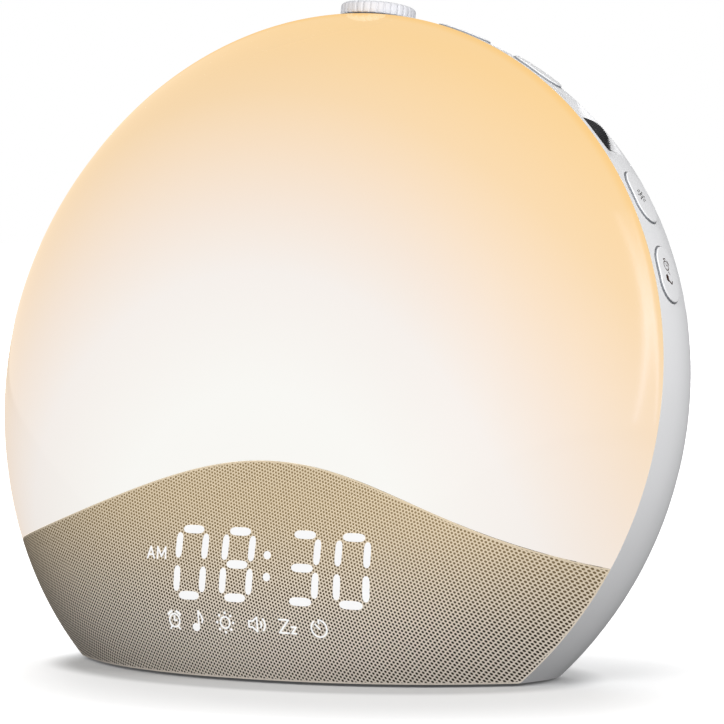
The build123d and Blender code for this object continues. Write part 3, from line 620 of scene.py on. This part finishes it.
def stroke_patch(centre, run, width, turn, taper):
    """A bar whose half width falls towards both ends: (1 minus |t| to the taper) to a half."""
    t = np.sin(np.linspace(-pi / 2, pi / 2, 25))
    half = width / 2 * np.sqrt(np.maximum(1 - np.abs(t) ** taper, 0))
    across = np.linspace(-1, 1, 5)
    along = np.broadcast_to((t * run / 2)[:, None], (len(t), len(across)))
    side = half[:, None] * across
    return np.stack([centre[0] + along * cos(turn) - side * sin(turn),
                     centre[1] + along * sin(turn) + side * cos(turn)], -1)


def ribbon(path, width):
    """A flat strip along a path: each point is moved to both sides, square to the path."""
    path = np.array(path, float)
    along = np.gradient(path, axis=0)
    if np.allclose(path[0], path[-1]):
        along[0] = along[-1] = path[1] - path[-2]
    along /= np.linalg.norm(along, axis=1)[:, None]
    side = np.stack([-along[:, 1], along[:, 0]], -1)
    return path[:, None] + side[:, None] * np.linspace(-width / 2, width / 2, 3)[None, :, None]


def arc(centre, radius, start, end, count=28):
    """Points round a centre, between two angles in degrees."""
    turn = np.radians(np.linspace(start, end, count))
    return np.stack([centre[0] + radius * np.cos(turn), centre[1] + radius * np.sin(turn)], -1)


def spot(centre, radius, stretch=1.0):
    """A round dot, as rings about its centre, stretched to the sides."""
    turn = np.radians(np.linspace(0, 360, 20))
    out = np.linspace(0, radius, 3)[:, None]
    return np.stack([centre[0] + out * stretch * np.cos(turn), centre[1] + out * np.sin(turn)], -1)


def lines(centre, *paths):
    """Straight strokes between points given in millimetres from a centre."""
    made = []
    for path in paths:
        points = np.array(path, float) * mm + np.array(centre)
        made += [(a, b) for a, b in zip(points[:-1], points[1:])]
    return made


# lit strokes: a at the top, g in the middle, d at the foot, b and c on the right, f and e on the left
digit_strokes = {0: "abcdef", 1: "bc", 2: "abged", 3: "abgcd", 4: "fgbc", 5: "afgcd", 6: "afgedc",
                 7: "abc", 8: "abcdefg", 9: "abcdfg"}


def digit_patches(show, value, x):
    """The lit strokes of one digit: level ones at the top, middle and foot, upright ones at the sides."""
    half_w, half_h = (show.digit_width - show.stroke) / 2, (show.digit_height - show.stroke) / 2
    level, upright, slim = 5.9 * mm, 6.2 * mm, 0.88
    places = {"a": (0, half_h, 0), "g": (0, 0, 0), "d": (0, -half_h, 0), "b": (half_w, half_h / 2, 1),
              "c": (half_w, -half_h / 2, 1), "e": (-half_w, -half_h / 2, 1), "f": (-half_w, half_h / 2, 1)}
    made = []
    for name in digit_strokes[value]:
        dx, dy, up = places[name]
        run, width, taper = (upright, slim * show.stroke, 5) if up else (level, show.stroke, 4)
        flat = stroke_patch((dx, dy), run, width, pi / 2 * up, taper)
        made.append(np.stack([x + flat[..., 0] + show.slant * flat[..., 1], show.row + flat[..., 1]], -1))
    return made


def symbol_patches(show):
    """Plain symbols: alarm clock, note, sun, loudspeaker, sleep and timer, and the morning mark. Their
    points are millimetres from each symbol's middle."""
    line, row = show.line, show.mark_row
    clock, note, sun, sound, sleep, timer = [(x * mm, row) for x in (-17.9, -10.6, -2.8, 6.2, 14.6, 23.0)]

    # alarm clock: dial, bells, hands and feet
    dial = (clock[0], row - 0.1 * mm)
    made = [ribbon(arc(dial, 1.55 * mm, 0, 360), line)]
    for start in (32, 103):
        made.append(ribbon(arc(dial, 2.25 * mm, start, start + 45, 10), 1.4 * line))
    strokes = lines(clock, [(0, 0.9), (0, -0.1), (0.7, -0.1)], [(-1.0, -1.5), (-1.45, -2.1)],
                    [(1.0, -1.5), (1.45, -2.1)])
    # note: head, stem and flag
    made.append(spot((note[0] - 0.85 * mm, row - 1.5 * mm), 0.95 * mm, 1.15))
    strokes += lines(note, [(0.0, -1.5), (0.0, 2.4), (0.9, 1.2), (1.2, 0.4), (1.0, -0.3)])
    # sun: ring and eight dots
    made.append(ribbon(arc(sun, 1.35 * mm, 0, 360), line))
    for k in range(8):
        spoke = radians(45 * k)
        made.append(spot((sun[0] + 2.3 * mm * cos(spoke), row + 2.3 * mm * sin(spoke)), 0.33 * mm))
    # loudspeaker: outline and two waves
    strokes += lines(sound, [(-2.2, 0.7), (-1.2, 0.7), (0.1, 1.7), (0.1, -1.7), (-1.2, -0.7), (-2.2, -0.7),
                             (-2.2, 0.7)])
    for radius in (1.0, 2.0):
        made.append(ribbon(arc((sound[0] + 0.3 * mm, row), radius * mm, -48, 48, 12), line))
    # sleep: a large and a small Z
    strokes += lines(sleep, [(-2.2, 1.5), (0.4, 1.5), (-2.2, -1.6), (0.4, -1.6)],
                     [(1.1, -0.1), (2.3, -0.1), (1.1, -1.6), (2.3, -1.6)])
    # timer: open ring, knob and hand
    made.append(ribbon(arc(timer, 2.0 * mm, -235, 80), line))
    strokes += lines(timer, [(0.0, 2.0), (0.0, 1.2)], [(0.15, -0.1), (-0.9, 0.9)])
    # morning mark: A and M, left of the digits
    morning = (-22.95 * mm, -46.45 * mm)
    strokes += lines(morning, [(-2.7, -1.4), (-1.7, 1.4), (-0.7, -1.4)], [(-2.4, -0.5), (-1.0, -0.5)],
                     [(0.3, -1.4), (0.3, 1.4), (1.5, -0.9), (2.7, 1.4), (2.7, -1.4)])

    for a, b in strokes:
        middle, run = (a + b) / 2, b - a
        size = float(np.hypot(*run))
        made.append(stroke_patch(middle, size + line, line, float(np.arctan2(run[1], run[0])), 10))
    return made


class LAMP_OT_display(bpy.types.Operator):
    """Digits and symbols that shine through the skin"""
    bl_idname = "lamp.display"
    bl_label = "Display"

    def execute(self, context):
        g, show = context.scene.lamp_shape, context.scene.lamp_display
        lift, lit = 0.08 * mm, lit_mark()
        digits = []
        for value, x in zip(f"{show.hour:02d}{show.minute:02d}", digit_centres):
            digits += digit_patches(show, int(value), x)
        digits += [spot((colon_centre, show.row + side * colon_half), colon_dot) for side in (-1, 1)]
        for name, flats in (("lit_digits", digits), ("lit_symbols", symbol_patches(show))):
            add_piece(mesh_of(name, raised(g, flats, lift), sharp=60), lit, "lamp", "light_pipe")
        return {"FINISHED"}


# ---------------------------------------------------------------- knob
def grooves(count, steps, width):
    """Angles round an axis, and a groove in each share of the turn: e to the power of minus (distance from
    the share's middle over the width) squared."""
    turn = np.linspace(0, 2 * pi, count * steps, endpoint=False)
    share = (turn * count / (2 * pi)) % 1
    return turn, np.exp(-((share - 0.5) / width) ** 2)


class LAMP_OT_knob(bpy.types.Operator):
    """The fluted knob on top: a turned profile with a bell-shaped groove in each of its even shares"""
    bl_idname = "lamp.knob"
    bl_label = "Top knob"

    def execute(self, context):
        g, finish, knob = context.scene.lamp_shape, context.scene.lamp_finish, context.scene.lamp_knob
        inner, hollow, hollow_top = 3 * mm, 6.2 * mm, knob.under + 1.4 * mm
        corner, land = 0.2 * mm, 1.2 * mm
        turn, groove = grooves(knob.flutes, 14, 0.13)
        top = knob.under + knob.height
        bend = np.linspace(0, pi / 2, 9)
        profile = [(0.0, top), (inner, top), (2 * inner, top)]
        profile += [(knob.radius - knob.edge * (1 - sin(a)), top - knob.edge * (1 - cos(a))) for a in bend]
        profile += [(knob.radius, knob.under + land), (knob.radius, knob.under + corner),
                    (knob.radius - corner, knob.under), (hollow, knob.under), (hollow, hollow_top),
                    (inner, hollow_top), (0.0, hollow_top)]
        profile = np.array(profile)
        near_side = np.clip((profile[:, 0] - (knob.radius - 1.2 * knob.edge)) / knob.edge, 0, 1)
        cut = knob.flute_depth * near_side[:, None] * groove
        r = profile[:, :1] - cut
        height = np.broadcast_to(profile[:, 1:], r.shape)
        grid = lamp_point(g, r * np.cos(turn), height, -knob.depth - r * np.sin(turn))
        mesh = mesh_of("fluted_knob", [grid], round_columns=True, sharp=50)
        material = moulded_plastic("knob_plastic", finish.knob, 0.42)
        add_piece(mesh, material, "knob", "grey_knob", "top_knob")
        return {"FINISHED"}


# ---------------------------------------------------------------- rim controls and shell
def on_button(g, angle, flats, rise, lift=0.03 * mm):
    """Grids of (along the rim, towards the back) laid on a surface that follows the rear shell's radius
    at each depth, rise further out, and lifted off it."""
    turn = radians(angle)
    grids = []
    for flat in flats:
        along, back = flat[..., 0], flat[..., 1] + button_depth
        out = np.sqrt(back_radius(g, back, rise) ** 2 - along ** 2) + lift
        x = out * sin(turn) + along * cos(turn)
        s = out * cos(turn) - along * sin(turn)
        grids.append(lamp_point(g, x, s, -back))
    return grids


class LAMP_OT_shell(bpy.types.Operator):
    """Rear shell, base, battery door and button caps, and painted shade lines round the buttons"""
    bl_idname = "lamp.shell"
    bl_label = "Shell"

    def execute(self, context):
        finish = context.scene.lamp_finish
        white = moulded_plastic("shell_plastic", finish.shell, 0.45, depth=0.005 * mm)
        for node in ("rear_shell", "base_plate", "battery_door"):
            smoothed_copy(node, node + "_moulding", white, "lamp", "white_shell")
        for name in button_angles:
            node = name + "_button"
            smoothed_copy(node, node + "_cap", white, name + "_key", "white_shell")
        self.painted_shade_lines(context.scene.lamp_shape, moulded_plastic("painted_gap_shade", finish.gap, 0.8))
        return {"FINISHED"}

    def painted_shade_lines(self, g, dark):
        """Painted shade: a dark line round each pill button that stands for the shade in its gap. It runs
        along the outline, moved out a little, at the shell's surface, and back to the cap's side."""
        line, cap, film, side = 0.14 * mm, 0.03 * mm, 0.02 * mm, 0.4 * mm
        turn = np.linspace(0, 2 * pi, 96, endpoint=False)
        straight = np.sign(np.cos(turn).round(9)) * pill_straight
        grids = []
        for angle in button_angles.values():
            rows = []
            for out, lift in ((line, 0.0), (line, film), (cap, film), (film, side)):
                reach = pill_radius + out
                flat = np.stack([straight + reach * np.cos(turn), reach * np.sin(turn)], -1)
                rows.append(on_button(g, angle, [flat], 0.0, lift)[0])
            grids.append(np.stack(rows))
        # The line is painted shade in the gap, not a dark part of its own.
        add_piece(mesh_of("button_painted_shade_lines", grids, round_columns=True), dark, "lamp", "dark_plastic")


class LAMP_OT_wheel(bpy.types.Operator):
    """The ribbed thumbwheel for the volume: a turned profile, dished on its front, with even grooves"""
    bl_idname = "lamp.wheel"
    bl_label = "Volume wheel"

    def execute(self, context):
        g, wheel = context.scene.lamp_shape, context.scene.lamp_wheel
        turn, groove = grooves(wheel.ribs, 8, 0.24)
        half, edge, dish = wheel.width / 2, wheel.edge, 0.4 * mm
        profile = np.array([(0.0, half - dish), (0.55 * wheel.radius, half - dish),
                            (0.62 * wheel.radius, half), (wheel.radius - 2 * edge, half),
                            (wheel.radius - edge, half), (wheel.radius, half - edge),
                            (wheel.radius, edge - half), (wheel.radius - edge, -half),
                            (wheel.radius - 2 * edge, -half), (0.3 * wheel.radius, -half), (0.0, -half)])
        ribbed = (profile[:, :1] > wheel.radius - 1.5 * edge) * wheel.rib_depth * groove
        out = profile[:, :1] - ribbed
        axis = g.rim_radius + wheel.proud - wheel.radius
        place = radians(wheel_angle)
        grid = lamp_point(g, axis * sin(place) + out * np.cos(turn), axis * cos(place) + out * np.sin(turn),
                          profile[:, 1:] - wheel.depth)
        mesh = mesh_of("ribbed_wheel", [grid], round_columns=True, sharp=40)
        black = moulded_plastic("wheel_plastic", context.scene.lamp_finish.wheel, 0.3)
        add_piece(mesh, black, "wheel", "dark_plastic", "volume_wheel")
        return {"FINISHED"}


class LAMP_OT_print(bpy.types.Operator):
    """Printed symbols on the light and sound buttons"""
    bl_idname = "lamp.print"
    bl_label = "Button print"

    def execute(self, context):
        g, finish, cap_rise = context.scene.lamp_shape, context.scene.lamp_finish, 0.6 * mm
        for key, flats, ink in (("light", self.sun(), finish.print_grey),
                                ("sound", self.clock() + self.note(), finish.print_brown)):
            mesh = mesh_of(key + "_print", on_button(g, button_angles[key], flats, cap_rise))
            add_piece(mesh, printed_mark(key + "_ink", ink), key + "_key", "grey_knob")
        return {"FINISHED"}

    def sun(self):
        """A ring and eight rays."""
        middle = (0.1 * mm, -1.0 * mm)
        flats = [ribbon(arc(middle, 0.6 * mm, 0, 360), 0.34 * mm)]
        for turn in np.radians(np.arange(0, 360, 45)):
            ray = np.linspace(1.1, 1.85, 3)[:, None] * mm * np.array([cos(turn), sin(turn)])
            flats.append(ribbon(ray + middle, 0.42 * mm))
        return flats

    def clock(self):
        """An alarm clock: its ring, two bells, two hands and the slash to the next symbol."""
        middle = np.array([-2.0, -0.9]) * mm
        flats = [ribbon(arc(middle, 1.2 * mm, 0, 360), 0.3 * mm)]
        for start in (100, 170):
            flats.append(ribbon(arc(middle, 1.75 * mm, start, start + 45, 8), 0.34 * mm))
        for path in ([(0, 0.7), (0, 0.3), (0, 0)], [(0, 0), (-0.3, 0), (-0.6, 0)],
                     [(1.5, 0.3), (1.9, 0.7), (2.3, 1.1)]):
            flats.append(ribbon(np.array(path) * mm + middle, 0.26 * mm))
        return flats

    def note(self):
        """A musical note: head, stem and flag, in millimetres from the button's middle."""
        head = (1.3 * mm, -1.7 * mm)
        stem = [(1.75, -1.5), (2.1, -0.9), (2.45, -0.2), (2.6, 0.3)]
        flag = [(2.6, 0.3), (2.15, 0.45), (1.8, 0.75)]
        strokes = [ribbon(np.array(path) * mm, 0.45 * mm) for path in (stem, flag)]
        return [spot(head, 0.7 * mm, 1.4)] + strokes


class LAMP_OT_insides(bpy.types.Operator):
    """Finishes for the pieces that stay as the solids have them"""
    bl_idname = "lamp.insides"
    bl_label = "Inside finishes"

    def execute(self, context):
        finish = context.scene.lamp_finish
        made = {
            "lens": moulded_plastic("opal_plastic", linear("#F6EFE2"), 0.35),
            "mesh": moulded_plastic("skin_plastic", linear("#B3A288"), 0.6),
            "dark_plastic": moulded_plastic("black_plastic", linear("#202022"), 0.55),
            "white_shell": moulded_plastic("white_plastic", finish.shell, 0.45),
            "grey_knob": moulded_plastic("grey_plastic", finish.knob, 0.42),
            "white_inside": moulded_plastic("reflector_plastic", linear("#EFEFEA"), 0.6),
            "board": circuit_board(),
            "chip": moulded_plastic("epoxy_package", linear("#232326"), 0.5),
            "led": moulded_plastic("phosphor", linear("#F2DC7A"), 0.3),
            "light_pipe": moulded_plastic("light_pipe", linear("#F4F4F4"), 0.2),
            "steel": plain_metal("plain_steel", linear("#B9BABC"), 0.35),
            "plated": plain_metal("nickel_plate", linear("#D2D0CA"), 0.22),
            "magnet": moulded_plastic("ferrite", linear("#3C3B3D"), 0.7, grain=0.8 * mm),
            "cone_paper": moulded_plastic("pressed_paper", linear("#262524"), 0.85, grain=0.6 * mm),
            "foam": moulded_plastic("foam", linear("#232323"), 0.95, grain=0.5 * mm, depth=0.1 * mm),
            "rubber": moulded_plastic("rubber", linear("#29292A"), 0.8, grain=0.3 * mm),
            "can": plain_metal("aluminium_can", linear("#C9CACB"), 0.3),
        }
        slots = {row["node"]: row["material_slot"] for row in frame["record"]["subparts"]}
        for node, shown in frame["nodes"].items():
            shown.data.materials.clear()
            shown.data.materials.append(made[slots[node]])
        return {"FINISHED"}


# ---------------------------------------------------------------- stage
def seen_directly(tree):
    """One where the eye meets the surface directly or through something clear, else zero."""
    path = add_node(tree, "ShaderNodeLightPath")
    seen = add_node(tree, "ShaderNodeMath", {0: path.outputs["Is Camera Ray"],
                                             1: path.outputs["Is Transmission Ray"]}, operation="MAXIMUM")
    return seen.outputs["Value"]


class LAMP_OT_stage(bpy.types.Operator):
    """Floor, light and camera"""
    bl_idname = "lamp.stage"
    bl_label = "Stage"

    def execute(self, context):
        self.floor(context)
        self.world(context)
        wide, small, slit = (1.0, 1.0), (0.3, 0.3), (0.014, 1.24)
        for name, place, size, watts in (("key", (0.05, -1.5, 0.75), wide, 25.5),
                                         ("side", (0.67, -0.16, 0.27), small, 3.6),
                                         ("back", (-0.75, 1.3, 0.7), wide, 27.0)):
            self.lamp(context, name, place, size, watts)
        strip = self.lamp(context, "strip", (1.2371, 0.1316, 0.6033), slit, 0.07, radians(-20.4))
        strip.data.color, strip.data.spread, strip.visible_glossy = (0.55, 0.7, 1.0), radians(64), True
        self.camera(context)
        return {"FINISHED"}

    def floor(self, context):
        """A round pale floor. Where the eye sees it, it glows to white, less so in two ovals under the
        object: a wide weak shadow and a small deep one at the foot."""
        ovals = (((0.028, -0.024, 0.0), (0.078, 0.066, 1.0), (0.65, 2.2), 0.29),
                 ((0.002, -0.008, 0.0), (0.068, 0.0454, 1.0), (0.98, 1.14), 0.22))
        turn = np.linspace(0, 2 * pi, 96, endpoint=False)
        ring = np.array([0.0, 0.3, 0.8, 3.0])[:, None]
        grid = np.stack([ring * np.cos(turn), ring * np.sin(turn), np.zeros((len(ring), len(turn)))], -1)
        mesh = mesh_of("floor", [grid], round_columns=True)
        material, tree = new_material("pale_floor")
        place = add_node(tree, "ShaderNodeTexCoord")
        drift = add_node(tree, "ShaderNodeTexNoise", {"Vector": place.outputs["Object"], "Scale": 3.0})
        tint = colour_ramp(tree, drift.outputs["Fac"], [(0.3, linear("#BCBCBC")), (0.7, linear("#BFBFBF"))])
        seen = seen_directly(tree)
        base = add_node(tree, "ShaderNodeMix", {"Factor": seen, 6: rgba(linear("#3E3E3E")),
                                                7: tint.outputs["Color"]}, data_type="RGBA")
        matt = add_node(tree, "ShaderNodeBsdfDiffuse", {"Color": base.outputs[2]})
        level = seen
        for centre, radii, (start, end), darkest in ovals:
            oval = add_node(tree, "ShaderNodeMapping", {"Vector": place.outputs["Object"],
                                                        "Location": centre, "Scale": radii},
                            vector_type="TEXTURE")
            away = add_node(tree, "ShaderNodeVectorMath", {0: oval.outputs["Vector"]}, operation="LENGTH")
            lift = add_node(tree, "ShaderNodeMapRange", {"Value": away.outputs["Value"], "From Min": start,
                                                         "From Max": end, "To Min": darkest,
                                                         "To Max": 1.0},
                            interpolation_type="SMOOTHSTEP")
            level = add_node(tree, "ShaderNodeMath", {0: lift.outputs["Result"], 1: level},
                             operation="MULTIPLY").outputs["Value"]
        glow = add_node(tree, "ShaderNodeEmission", {"Strength": level})
        both = add_node(tree, "ShaderNodeAddShader", {0: matt.outputs["BSDF"], 1: glow.outputs["Emission"]})
        add_node(tree, "ShaderNodeOutputMaterial", {"Surface": both.outputs["Shader"]})
        piece = bpy.data.objects.new("floor", mesh)
        mesh.materials.append(material)
        context.scene.collection.objects.link(piece)

    def world(self, context):
        """White where the eye sees it, and a plain weaker light on the object."""
        world = bpy.data.worlds.new("studio")
        context.scene.world = world
        world.use_nodes = True
        tree = world.node_tree
        tree.nodes.clear()
        level = add_node(tree, "ShaderNodeMapRange", {"Value": seen_directly(tree), "To Min": 0.24,
                                                      "To Max": 1.0})
        light = add_node(tree, "ShaderNodeBackground", {"Strength": level.outputs["Result"],
                                                        "Color": (1.0, 1.0, 1.0, 1.0)})
        add_node(tree, "ShaderNodeOutputWorld", {"Surface": light.outputs["Background"]})

    def lamp(self, context, name, place, size, watts, roll=0.0):
        """An area lamp that faces the middle of the object, rolled about its own axis. It throws light and
        isn't seen, not even in glossy surfaces."""
        middle = Vector((0, 0, 80 * mm))
        data = bpy.data.lights.new(name, "AREA")
        data.shape, data.size, data.size_y, data.energy = "RECTANGLE", *size, watts
        lamp = bpy.data.objects.new(name, data)
        context.scene.collection.objects.link(lamp)
        lamp.location = place
        faced = (middle - lamp.location).to_track_quat("-Z", "Y")
        lamp.rotation_euler = (faced @ Quaternion((0, 0, 1), roll)).to_euler()
        lamp.visible_glossy, lamp.visible_camera = False, False
        return lamp

    def camera(self, context):
        """A long lens, which stands far off to the right and looks down a little."""
        turned, down = radians(30.36), radians(3.21)
        data = bpy.data.cameras.new("camera")
        data.sensor_width, data.lens = 36.0, 286.1
        data.clip_start, data.clip_end = 0.1, 20.0
        camera = bpy.data.objects.new("camera", data)
        context.scene.collection.objects.link(camera)
        camera.location = (0.7335, -1.23685, 0.1571)
        camera.rotation_euler = (pi / 2 - down, 0.0, turned)
        context.scene.camera = camera


class LAMP_PT_panel(bpy.types.Panel):
    """Lists what can be changed, and the steps"""
    bl_label = "Lamp"
    bl_space_type = "VIEW_3D"
    bl_region_type = "UI"
    bl_category = "Lamp"

    def draw(self, context):
        for group in groups:
            box = self.layout.box()
            box.label(text=group.replace("_", " ").capitalize())
            held = getattr(context.scene, group)
            for key in held.__annotations__:
                box.prop(held, key)
        for operator in operators:
            self.layout.operator(operator.bl_idname)


groups = {"lamp_shape": LampShape, "lamp_finish": LampFinish, "lamp_display": LampDisplay,
          "lamp_knob": LampKnob, "lamp_wheel": LampWheel}
operators = (LAMP_OT_stage, LAMP_OT_insides, LAMP_OT_diffuser, LAMP_OT_grille, LAMP_OT_display,
             LAMP_OT_knob, LAMP_OT_shell, LAMP_OT_wheel, LAMP_OT_print)


def register():
    for kind in (*groups.values(), *operators, LAMP_PT_panel):
        bpy.utils.register_class(kind)
    for name, kind in groups.items():
        setattr(bpy.types.Scene, name, bpy.props.PointerProperty(type=kind))


def unregister():
    for name in groups:
        delattr(bpy.types.Scene, name)
    for kind in (LAMP_PT_panel, *operators[::-1], *groups.values()):
        bpy.utils.unregister_class(kind)


def main():
    """Registers the classes, sets the Standard view and takes the steps in order."""
    register()
    bpy.context.scene.view_settings.view_transform = "Standard"
    for operator in operators:
        space, name = operator.bl_idname.split(".")
        getattr(getattr(bpy.ops, space), name)()


if __name__ == "__main__":
    main()
